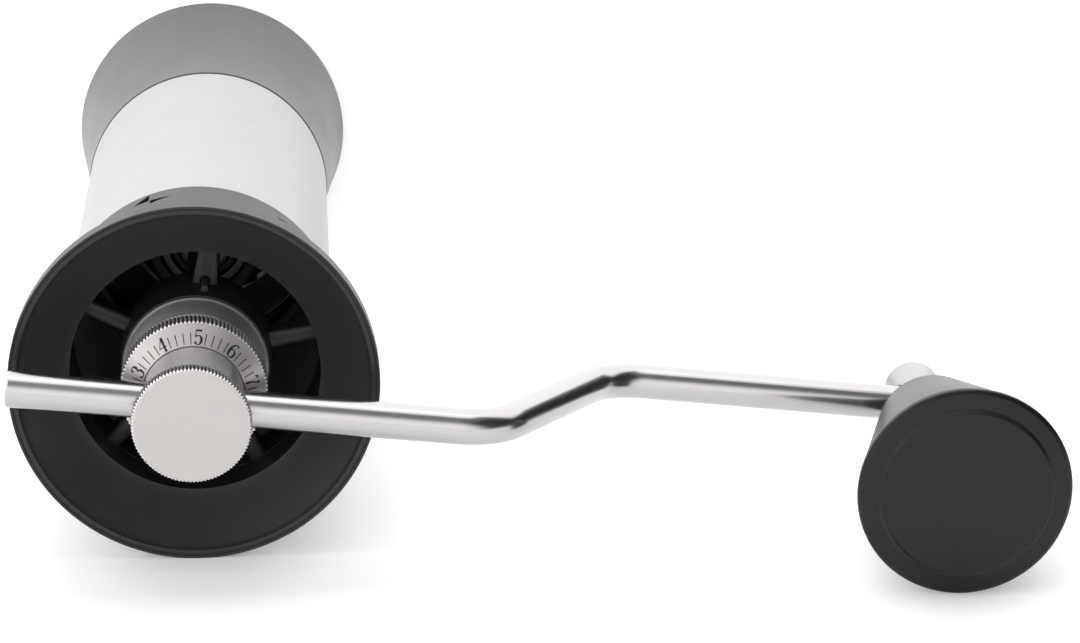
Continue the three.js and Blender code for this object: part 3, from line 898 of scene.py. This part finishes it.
def cage(node):
    """The ring that keeps the balls apart, with the balls in it."""
    low, high = span(f"{node}_cage")
    inside, outside = 7.1, 8.5
    ring = turned("cage_ring", ring_outline(inside, outside, low, high, 0.2))
    turns = [math.tau * index / BALL_COUNT for index in range(BALL_COUNT)]
    middle = (low + high) / 2
    centres = [Vector((BALL_PITCH * math.cos(turn), BALL_PITCH * math.sin(turn), middle)) for turn in turns]
    balls = []
    for centre in centres:
        combine(ring, ball("pocket", centre, BALL_ROOM, 16))
        balls.append(ball("ball", centre, BALL_RADIUS, 12))
    whole = gather(f"{node}_cage_and_balls", [ring, *balls])
    stand_for(smooth(whole), f"{node}_cage", cage_brown)
    whole.data.materials.append(bearing_steel)
    for face in whole.data.polygons:
        nearest = min((face.center / MM - centre).length for centre in centres)
        face.material_index = int(nearest < BALL_RADIUS + 0.02)


def ball(name, centre, radius, rings):
    """A sphere with its centre in mm."""
    turns = [math.pi * (i / rings - 0.5) for i in range(rings + 1)]
    outline = [(radius * math.cos(t), radius * math.sin(t)) for t in turns[1:-1]]
    made = turned(name, [(0, -radius), *outline, (0, radius)], 2 * rings)
    made.location = centre * MM
    bpy.context.view_layer.update()
    return made


def preload_spring():
    """The spring's wire, wound as a plain helix."""
    radius, wire, turns, per_turn = 8.2, 0.6, 4, 48
    low, high = bottom("preload_spring") + wire, top("preload_spring") - wire
    path = []
    for step in range(turns * per_turn + 1):
        along = step / (turns * per_turn)
        angle = along * turns * math.tau
        path.append((radius * math.cos(angle), radius * math.sin(angle), low + (high - low) * along))
    stand_for(smooth(swept("spring_wire", path, wire, 14)), "preload_spring", bearing_steel)


def bearing_circlip():
    low, high = span("bearing_circlip")
    inside, outside = 10.3, 11.9
    ring = turned("circlip_ring", ring_outline(inside, outside, low, high, 0.1))
    half, near, far = 2.5, 9, 14
    opening = [(-half, near), (half, near), (half, far), (-half, far)]
    combine(ring, prism("opening", opening, low - 1, high + 1))
    stand_for(smooth(ring), "bearing_circlip", bearing_steel)


def dial_spacer():
    low, high = span("dial_spacer")
    outside, inside, bore = 9.7, 8 + 2 * GAP, SHAFT_BORE
    web = low + 0.8
    turned_part("dial_spacer", [
        (bore, low, 0.2),
        (outside, low, 0.3),
        (outside, high, 0.15),
        (inside, high, 0.15),
        (inside, web, 0.1),
        (bore, web, 0.1),
    ], bronze)


# ---------------------------------------------------------------- dial, sleeve, hub and lock cap


TOOTH = (0, -0.35, -1, -0.35)  # the facets of one tooth, as shares of its depth


def knurl(count, radius, depth, low, high):
    """Straight pointed teeth on the rim of a turned piece."""

    def wave(at, height, angle):
        on_rim = at > radius - 0.5 and low <= height <= high
        place = round(angle / math.tau * count * len(TOOTH)) % len(TOOTH)
        return depth * TOOTH[place] if on_rim else 0

    return wave


DIAL_TEETH = 110
CAP_TEETH = 100
STEM_RADIUS = 8  # of the hub's threaded stem, which the dial turns on


def bearing_sleeve():
    outside = reach("bearing_sleeve")
    low, high = span("bearing_sleeve")
    shaft_room, bore = 9, BEARING_RADIUS + GAP
    bead, bead_low = outside + 0.45, 207.9  # a thin bright ring just over the hub
    bearing_seat = 209.7
    clip_room, clip_low, clip_high = 12.2, 217.1, 218.4
    chamfer = 0.6
    outline = [
        (shaft_room, low, 0.2),
        (outside, low, 0.4),
        (outside, bead_low),
        (bead, bead_low + 0.1, 0.08),
        (bead, bead_low + 0.25, 0.08),
        (outside, bead_low + 0.7, 0.1),
        (outside, high - chamfer, 0.15),
        (outside - chamfer, high, 0.15),
        (bore, high, 0.3),
        (bore, clip_high),
        (clip_room, clip_high),
        (clip_room, clip_low),
        (bore, clip_low),
        (bore, bearing_seat),
        (shaft_room, bearing_seat, 0.2),
    ]
    stand_for(smooth(turned("sleeve_shell", outline)), "bearing_sleeve", sleeve_steel)


def dial_profile():
    """The dial's cone as (rim radius, rim height, recess radius, recess height)."""
    return reach("adjustment_dial"), 224.8, reach("crank_hub") + 0.12, top("adjustment_dial")


def adjustment_dial():
    rim, rim_high, recess, high = dial_profile()
    low = bottom("adjustment_dial")
    stem = STEM_RADIUS + GAP
    chamfer = 0.6
    recess_floor = high - 1.6
    outline = [
        (stem, low, 0.2),
        (rim - chamfer, low, 0.1),
        (rim, low + chamfer),
        (rim, rim_high),
        (rim - 0.45, rim_high + 0.3),
        (recess, high, 0.15),
        (recess, recess_floor, 0.1),
        (stem, recess_floor, 0.2),
    ]
    wave = knurl(DIAL_TEETH, rim, KNURL_DEPTH, low + 0.3, rim_high + 0.1)
    dial = turned("dial_ring", outline, DIAL_TEETH * len(TOOTH), wave=wave)
    stand_for(smooth(dial, 25), "adjustment_dial", dial_steel)


def on_dial(x, y, lift):
    """Wraps a flat point on to the dial's cone. y runs out along the slope from its middle, x along the
    circle, and lift stands off the surface."""
    rim, rim_high, recess, high = dial_profile()
    slope = Vector((rim - recess, rim_high - high)).normalized()
    normal = Vector((-slope.y, slope.x))
    middle = Vector(((rim + recess) / 2, (rim_high + high) / 2))
    spot = middle + slope * y + normal * lift
    angle = math.pi / 2 - x / middle.x
    return Vector((spot.x * math.cos(angle), spot.x * math.sin(angle), spot.y))


DIAL_LINES = 50
LINES_PER_NUMBER = 5
DIAL_STEP = math.tau / DIAL_LINES
DIAL_SETTING = math.radians(0.3)  # the 5 stands just short of the index pin
INK_LIFT = 0.02
INK_DEPTH = 0.12


def tick(turn):
    """One filled graduation line on the dial."""
    half_width, length, inward = 0.12, 2.6, 1.1
    ends = (-length / 2 - inward, length / 2 - inward)
    corners = [(-half_width, ends[0]), (half_width, ends[0]), (half_width, ends[1]), (-half_width, ends[1])]
    buried, raised = [[turn @ on_dial(x, y, lift) for x, y in corners] for lift in (-INK_DEPTH, INK_LIFT)]
    return between("tick", buried, raised)


def bow(x, y, across, up, start, end, thin=0.02, thick=0.062, steps=20):
    """Part of an oval as (x, y, half width) points, thick at its sides and thin at top and bottom."""
    points = []
    for step in range(steps + 1):
        turn = math.radians(start + (end - start) * step / steps)
        half = thin + (thick - thin) * abs(math.cos(turn)) ** 1.5
        points.append((x + across * math.cos(turn), y + up * math.sin(turn), half))
    return points


def dot(x, y):
    """The round end of a stroke."""
    return bow(x, y, 0.03, 0.03, 0, 360, 0.03, 0.03, 10)


SIX = [
    bow(0, -0.2, 0.22, 0.28, 0, 360),
    bow(0.16, -0.12, 0.38, 0.6, 180, 90),
    dot(0.16, 0.4),
]
# Strokes of each number as (x, y, half width) points, in a box one unit high.
NUMBERS = {
    0: [bow(0, 0, 0.23, 0.48, 0, 360)],
    1: [
        [(0.02, -0.48, 0.06), (0.02, 0.48, 0.06)],
        [(-0.14, 0.34, 0.018), (0.02, 0.46, 0.03)],
        [(-0.14, -0.48, 0.02), (0.18, -0.48, 0.02)],
    ],
    2: [
        bow(0, 0.22, 0.22, 0.26, 170, -20),
        [(0.21, 0.13, 0.055), (0.05, -0.14, 0.03), (-0.22, -0.46, 0.02)],
        [(-0.22, -0.44, 0.04), (0.2, -0.44, 0.055), (0.25, -0.28, 0.018)],
        dot(-0.19, 0.24),
    ],
    3: [
        bow(-0.02, 0.25, 0.18, 0.23, 150, -90),
        bow(-0.02, -0.22, 0.23, 0.26, 90, -150),
        dot(-0.16, 0.33),
        dot(-0.2, -0.33),
    ],
    4: [
        [(0.1, 0.48, 0.02), (-0.27, -0.17, 0.02)],
        [(-0.27, -0.17, 0.022), (0.27, -0.17, 0.022)],
        [(0.1, 0.46, 0.06), (0.1, -0.48, 0.06)],
        [(-0.04, -0.48, 0.018), (0.24, -0.48, 0.018)],
    ],
    5: [
        [(-0.16, 0.44, 0.045), (0.2, 0.44, 0.045)],
        [(-0.16, 0.46, 0.02), (-0.19, 0.04, 0.02)],
        bow(-0.01, -0.18, 0.23, 0.3, 140, -150),
        dot(-0.19, -0.34),
    ],
    6: SIX,
    7: [
        [(-0.24, 0.43, 0.05), (0.26, 0.43, 0.05)],
        [(-0.24, 0.44, 0.02), (-0.26, 0.27, 0.02)],
        [(0.25, 0.42, 0.02), (0.06, 0.02, 0.04), (-0.02, -0.48, 0.062)],
    ],
    8: [bow(0, 0.25, 0.17, 0.22, 0, 360), bow(0, -0.22, 0.22, 0.26, 0, 360)],
    9: [[(-x, -y, half) for x, y, half in stroke] for stroke in SIX],
}


def stroke_piece(stroke, turn):
    """One filled stroke of a number, laid on the dial."""
    height, inward, weight = 3.5, 0.75, 1.45
    left, right = [], []
    for index, (x, y, half) in enumerate(stroke):
        before = stroke[max(index - 1, 0)]
        after = stroke[min(index + 1, len(stroke) - 1)]
        ahead = Vector((after[0] - before[0], after[1] - before[1])).normalized()
        aside = Vector((-ahead.y, ahead.x)) * half * weight
        left.append((x + aside.x, y + aside.y))
        right.append((x - aside.x, y - aside.y))
    points = []
    for lift in (-INK_DEPTH, INK_LIFT):
        points += [turn @ on_dial(x * height, y * height - inward, lift) for x, y in left + right]
    count = len(stroke)
    faces = []
    for i in range(count - 1):
        under = (i, i + 1, count + i + 1, count + i)
        over = tuple(2 * count + corner for corner in under)
        faces += [under, over]
        faces += [(under[0], under[1], over[1], over[0]), (under[2], under[3], over[3], over[2])]
    for i in (0, count - 1):
        faces.append((i, count + i, 3 * count + i, 2 * count + i))
    return mesh_piece("stroke", points, faces)


def dial_marks():
    """Numbers 0 to 9 round the dial, clockwise from above, with four lines between each two."""
    marks = []
    for place in range(DIAL_LINES):
        turn = Matrix.Rotation(-DIAL_STEP * (place - DIAL_LINES // 2) + DIAL_SETTING, 3, "Z")
        number, rest = divmod(place, LINES_PER_NUMBER)
        if rest:
            marks.append(tick(turn))
        else:
            marks += [stroke_piece(stroke, turn) for stroke in NUMBERS[number]]
    marks = gather("dial_marks", marks)
    marks.data.materials.append(ink)
    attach(marks, "dial")


def crank_hub():
    neck, stem = reach("crank_hub"), STEM_RADIUS
    low, high = span("crank_hub")
    neck_low = 227.6
    bore = SHAFT_BORE
    hub = turned("hub_neck", [
        (bore, low, 0.2),
        (stem, low, 0.3),
        (stem, neck_low),
        (neck, neck_low, 0.3),
        (neck, high, 0.3),
        (bore, high, 0.3),
    ])
    drill(hub, (0, 0, top("crank_bar") - BAR_RADIUS), BAR_RADIUS + GAP, 20, "Y")
    drill(hub, (0, 0, PIN_LEVEL), PIN_BORE, 20, "X", PIN_SEGMENTS)
    stand_for(smooth(hub), "crank_hub", hub_steel)


def lock_cap():
    rim = reach("lock_cap")
    high = top("lock_cap")
    low = 244.2
    stud = 3.9
    stud_low = bottom("lock_cap")
    chamfer, lower_chamfer = 0.6, 0.5
    outline = [
        (0, stud_low),
        (stud, stud_low, 0.4),
        (stud, low),
        (rim - lower_chamfer, low, 0.1),
        (rim, low + lower_chamfer),
        (rim, high - chamfer),
        (rim - 0.45, high - 0.12),
        (rim - chamfer - 0.3, high, 0.3),
        (0, high),
    ]
    wave = knurl(CAP_TEETH, rim, KNURL_DEPTH, low + 0.3, high - chamfer + 0.1)
    cap = turned("lock_cap_knurled", outline, CAP_TEETH * len(TOOTH), wave=wave)
    stand_for(smooth(cap, 25), "lock_cap", cap_steel)


# ---------------------------------------------------------------- crank and knob


BOLT_RADIUS = 3
BOLT_BORE = BOLT_RADIUS + GAP
BOLT_HEAD_LOW = 240.2  # of the knob's bolt, which seats on a step in the knob
PLUG_RADIUS = 6.3  # of the knob cap's plug


def bar_path():
    """The bar's centre line: level over the funnel, down an S-bend, and level again to the knob."""
    high = top("crank_bar") - BAR_RADIUS
    low = bottom("crank_bar") + BAR_RADIUS
    first, second = 66.2, 94.8  # where the level parts would meet the slope without the bends
    bend = 16
    slope = math.atan2(high - low, second - first)
    tangent = bend * math.tan(slope / 2)
    steps = 20
    path = [Vector((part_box("crank_bar")[0].x / MM, 0, high))]
    for i in range(steps + 1):
        turn = slope * i / steps
        x = first - tangent + bend * math.sin(turn)
        path.append(Vector((x, 0, high - bend * (1 - math.cos(turn)))))
    for i in range(steps + 1):
        turn = slope * (1 - i / steps)
        x = second + tangent - bend * math.sin(turn)
        path.append(Vector((x, 0, low + bend * (1 - math.cos(turn)))))
    path.append(Vector((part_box("crank_bar")[1].x / MM, 0, low)))
    return path


def crank_bar():
    bar = swept("crank_rod", bar_path(), BAR_RADIUS, 64, chamfer=0.45)
    stand_for(smooth(bar), "crank_bar", bar_steel)


def knob_ferrule():
    outside = reach("knob_ferrule")
    low, high = span("knob_ferrule")
    bore, bore_low = BOLT_BORE, 196.6
    stub = turned("ferrule_stub", [
        (0, low),
        (outside, low, 0.7),
        (outside, high, 0.5),
        (bore, high, 0.2),
        (bore, bore_low),
        (0, bore_low),
    ], axis_x=knob_x)
    socket, past_end, past_middle = BAR_RADIUS + GAP, -30, 0.2
    hole = turned("hole", rod_outline(socket, past_end, past_middle), SMALL_SEGMENTS)
    combine(stub, lay(hole, (knob_x, 0, bottom("crank_bar") + BAR_RADIUS), "Y"))
    flat_low, flat_high, flat_depth, half = 176.5, 186.5, 0.8, 8
    near = knob_x + outside - flat_depth
    far = near + 4
    square = [(near, -half), (far, -half), (far, half), (near, half)]
    combine(stub, prism("flat", square, flat_low, flat_high))
    stand_for(smooth(stub), "knob_ferrule", ferrule_steel)


def knob_bolt():
    """Shouldered screw with a hexagon socket, which the knob turns on."""
    low, high = span("knob_bolt")
    shank, head, head_low = BOLT_RADIUS, 5.4, BOLT_HEAD_LOW
    bolt = turned("knob_screw", [
        (0, low),
        (shank, low, 0.5),
        (shank, head_low, 0.2),
        (head, head_low, 0.3),
        (head, high, 0.4),
        (0, high),
    ], SMALL_SEGMENTS)
    socket_width, socket_depth = 5.8, 2
    combine(bolt, prism("socket", hexagon(socket_width), high - socket_depth, high + 1))
    bolt.location.x = knob_x * MM
    bpy.context.view_layer.update()
    stand_for(smooth(bolt), "knob_bolt", bearing_steel)


def knob_body():
    low, high = span("knob_body")
    narrow = 12.25
    wide = reach("knob_body")
    bore = 5.5 + GAP
    cap_bore = PLUG_RADIUS + GAP
    outline = [
        (bore, low, 0.2),
        (narrow, low, 0.8),
        (wide, high - 0.4, 0.25),
        (wide - 0.6, high, 0.2),
        (cap_bore, high, 0.2),
        (cap_bore, BOLT_HEAD_LOW),
        (bore, BOLT_HEAD_LOW),
    ]
    stand_for(smooth(turned("knob_cone", outline, axis_x=knob_x)), "knob_body", knob_black)


def knob_cap():
    low = 247.7
    crown = top("knob_cap")
    wide = reach("knob_cap")
    plug_low = bottom("knob_cap")
    rim_high = 249.8
    ring, ring_foot, dome = 19.5, 18.1, 9  # the ring that stands round the front, and the low dome inside it
    outline = [
        (0, plug_low),
        (PLUG_RADIUS, plug_low, 0.2),
        (PLUG_RADIUS, low, 0.2),
        (wide - 0.6, low, 0.3),
        (wide, low + 0.7, 0.5),
        (wide, rim_high - 0.2, 0.8),
        (wide - 0.9, rim_high + 0.35, 1.5),
        (ring, rim_high + 1.0, 0.5),
        ((ring + ring_foot) / 2, crown - 0.45, 0.4),
        (ring_foot, crown - 0.8, 0.5),
        (dome, crown - 0.25, 30),
        (0, crown),
    ]
    stand_for(smooth(turned("knob_front", outline, axis_x=knob_x, steps=6), 40), "knob_cap", knob_black)


# ---------------------------------------------------------------- camera, light and stage


def add_camera():
    """The photograph's view: from above the crank, with the grinding axis leaning away."""
    data = bpy.data.cameras.new("camera")
    data.sensor_width = 36
    data.lens = 119.02
    data.clip_end = 100
    camera = bpy.data.objects.new("camera", data)
    bpy.context.scene.collection.objects.link(camera)
    look_from = Vector((-3.75, 257.37, 971.44)) * MM
    look_at = Vector((76.85, 15.05, 200)) * MM
    roll = math.radians(6.71)
    ahead = (look_at - look_from).normalized()
    level = ahead.cross(Vector((0, 1, 0))).normalized()
    over = level.cross(ahead)
    right = level * math.cos(roll) + over * math.sin(roll)
    up = over * math.cos(roll) - level * math.sin(roll)
    camera.matrix_world = Matrix.Translation(look_from) @ Matrix((right, up, -ahead)).transposed().to_4x4()
    bpy.context.scene.camera = camera


def add_softbox():
    """A wide soft light low at the back, which edges the upright walls."""
    width, height, power = 1.1, 0.5, 2.6
    place, target = Vector((-0.1, 1.2, 0.3)), Vector((0.05, 0, 0.15))
    light = bpy.data.lights.new("top_light", "AREA")
    light.shape = "RECTANGLE"
    light.size = width
    light.size_y = height
    light.energy = power
    lamp = bpy.data.objects.new("top_light", light)
    lamp.location = place
    lamp.rotation_euler = (target - place).to_track_quat("-Z", "Y").to_euler()
    bpy.context.scene.collection.objects.link(lamp)


TABLE_DISTANCE = -36.6  # from the grinding axis
STAGE_HALF = 4  # metres


def stage_sheet(name, corners, material):
    """A flat sheet that isn't part of the object."""
    mesh = bpy.data.meshes.new(name)
    mesh.from_pydata(corners, [], [tuple(range(len(corners)))])
    mesh.materials.append(material)
    sheet = bpy.data.objects.new(name, mesh)
    bpy.context.scene.collection.objects.link(sheet)
    return sheet


def stage_plane(name, centre, normal, material):
    """A sheet too large for its edges to be seen."""
    half = STAGE_HALF
    corners = [(-half, -half, 0), (half, -half, 0), (half, half, 0), (-half, half, 0)]
    sheet = stage_sheet(name, corners, material)
    turn = Vector((0, 0, 1)).rotation_difference(Vector(normal)).to_matrix().to_4x4()
    sheet.matrix_world = Matrix.Translation(centre) @ turn


def stage_white(name, along, span, painted_glow, see_through_back=False):
    """Matt white card with a painted glow that stands in for light from behind. The glow changes along one
    axis, over a span in metres.
    The back of a see-through sheet isn't drawn."""
    material = new_material(name, Roughness=0.9, Specular_IOR_Level=0.1)
    place = add_node(material, "ShaderNodeNewGeometry").outputs["Position"]
    distance = add_node(material, "ShaderNodeSeparateXYZ", {0: place}).outputs[along]
    strength = mapped(material, distance, span, painted_glow, interpolation_type="SMOOTHSTEP")
    # painted glow: the card shines with no lamp behind it
    drive(material, "Emission Strength", strength)
    shade = shade_between(material, noise(material, 3, 2), (0.90, 0.90, 0.90), (0.92, 0.92, 0.92))
    drive(material, "Base Color", shade)
    if see_through_back:
        nodes, links = material.node_tree.nodes, material.node_tree.links
        back = add_node(material, "ShaderNodeNewGeometry").outputs["Backfacing"]
        solid = nodes["Principled BSDF"].outputs[0]
        clear = add_node(material, "ShaderNodeBsdfTransparent").outputs[0]
        both = add_node(material, "ShaderNodeMixShader", {0: back, 1: solid, 2: clear}).outputs[0]
        links.new(both, nodes["Material Output"].inputs["Surface"])
    return material


def add_stage():
    """A floor under the cup, and a table that leans under the funnel and knob as in the photograph."""
    # The floor's painted glow grows towards +Y, and the table's grows towards the floor.
    stage_plane("floor", (0, 0, 0), (0, 0, 1), stage_white("floor_white", "Y", (0.01, 0.06), (0.38, 0.7)))
    lean = Vector((-0.106, 1, 0.02)).normalized()
    white = stage_white("table_white", "Z", (0, 0.16), (0.55, 0.2), see_through_back=True)
    stage_plane("table", lean * TABLE_DISTANCE * MM, lean, white)


def add_flag():
    """A black card beyond the knob, seen only as the dark line down the slope of the crank bar."""
    black = new_material("flag_black", Roughness=0.9, Specular_IOR_Level=0)
    shade = shade_between(black, noise(black, 3, 2), (0.01, 0.01, 0.01), (0.014, 0.014, 0.014))
    drive(black, "Base Color", shade)
    near, far, level, side = 0.3, 3.5, 0.004, -0.05
    corners = [(near, side, level), (far, side, level), (far, 2.4, level), (near, 0.2, level)]
    flag = stage_sheet("flag", corners, black)
    flag.visible_camera = False
    flag.visible_diffuse = False
    flag.visible_shadow = False


# Brightness of the room at eye level, by compass direction in degrees from +Y towards +X.
ROOM = [
    (-180, 0.9), (-107, 1.8), (-63, 1.8), (-30, 0.9), (6, 0.24), (24, 0.2),
    (32, 0.04), (76, 0.04), (90, 0.8), (105, 2.0), (140, 1.0),
]
OVERHEAD = 1.58
FULL = 2.0  # the brightness that stands for white in the room's colours


def grey(level):
    return (level / FULL, level / FULL, level / FULL, 1)


def add_room():
    """A white room with a bright ceiling and darker openings in its walls, which shape the metal."""
    world = bpy.data.worlds.new("studio")
    world.use_nodes = True
    direction = add_node(world, "ShaderNodeTexCoord").outputs["Generated"]
    parts = add_node(world, "ShaderNodeSeparateXYZ", {0: direction}).outputs
    compass = calculate(world, "ARCTAN2", parts["X"], parts["Y"])
    turn = mapped(world, compass, (-math.pi, math.pi))
    ramp = add_node(world, "ShaderNodeValToRGB", {"Fac": turn})
    stops = ramp.color_ramp.elements
    for degrees, level in ROOM:
        stop = stops.new((degrees + 180) / 360) if degrees > -180 else stops[0]
        stop.color = grey(level)
    stops[-1].color = stops[0].color
    height = calculate(world, "ABSOLUTE", parts["Z"])
    rise = mapped(world, height, (0.66, 0.96), interpolation_type="SMOOTHSTEP")
    room = mixed(world, rise, ramp.outputs["Color"], grey(OVERHEAD))
    background = world.node_tree.nodes["Background"]
    world.node_tree.links.new(room, background.inputs["Color"])
    background.inputs["Strength"].default_value = FULL
    bpy.context.scene.world = world


add_camera()
add_stage()
add_flag()
add_room()
add_softbox()
bpy.context.scene.view_settings.view_transform = "Standard"

catch_cup()
body_tube()
spider_collar()
funnel()
index_pin()

burr_carrier()
cup_o_ring()
burr_retaining_ring()
ring_burr()
cone_burr()
burr_bolt()
washer("burr_washer", BURR_BOLT_BORE, bearing_steel)

drive_shaft()
hub_pin()
lower_bridge()
bearing("lower")
bearing("upper")
washer("spring_seat", WASHER_BORE, bearing_steel)
preload_spring()
bearing_circlip()
dial_spacer()

bearing_sleeve()
adjustment_dial()
dial_marks()
crank_hub()
washer("clamp_washer", WASHER_BORE, nylon)
lock_cap()

crank_bar()
knob_ferrule()
knob_bolt()
washer("knob_washer", BOLT_BORE, nylon, knob_x)
washer("knob_bush_lower", BOLT_BORE, bronze, knob_x)
washer("knob_bush_upper", BOLT_BORE, bronze, knob_x)
knob_body()
knob_cap()
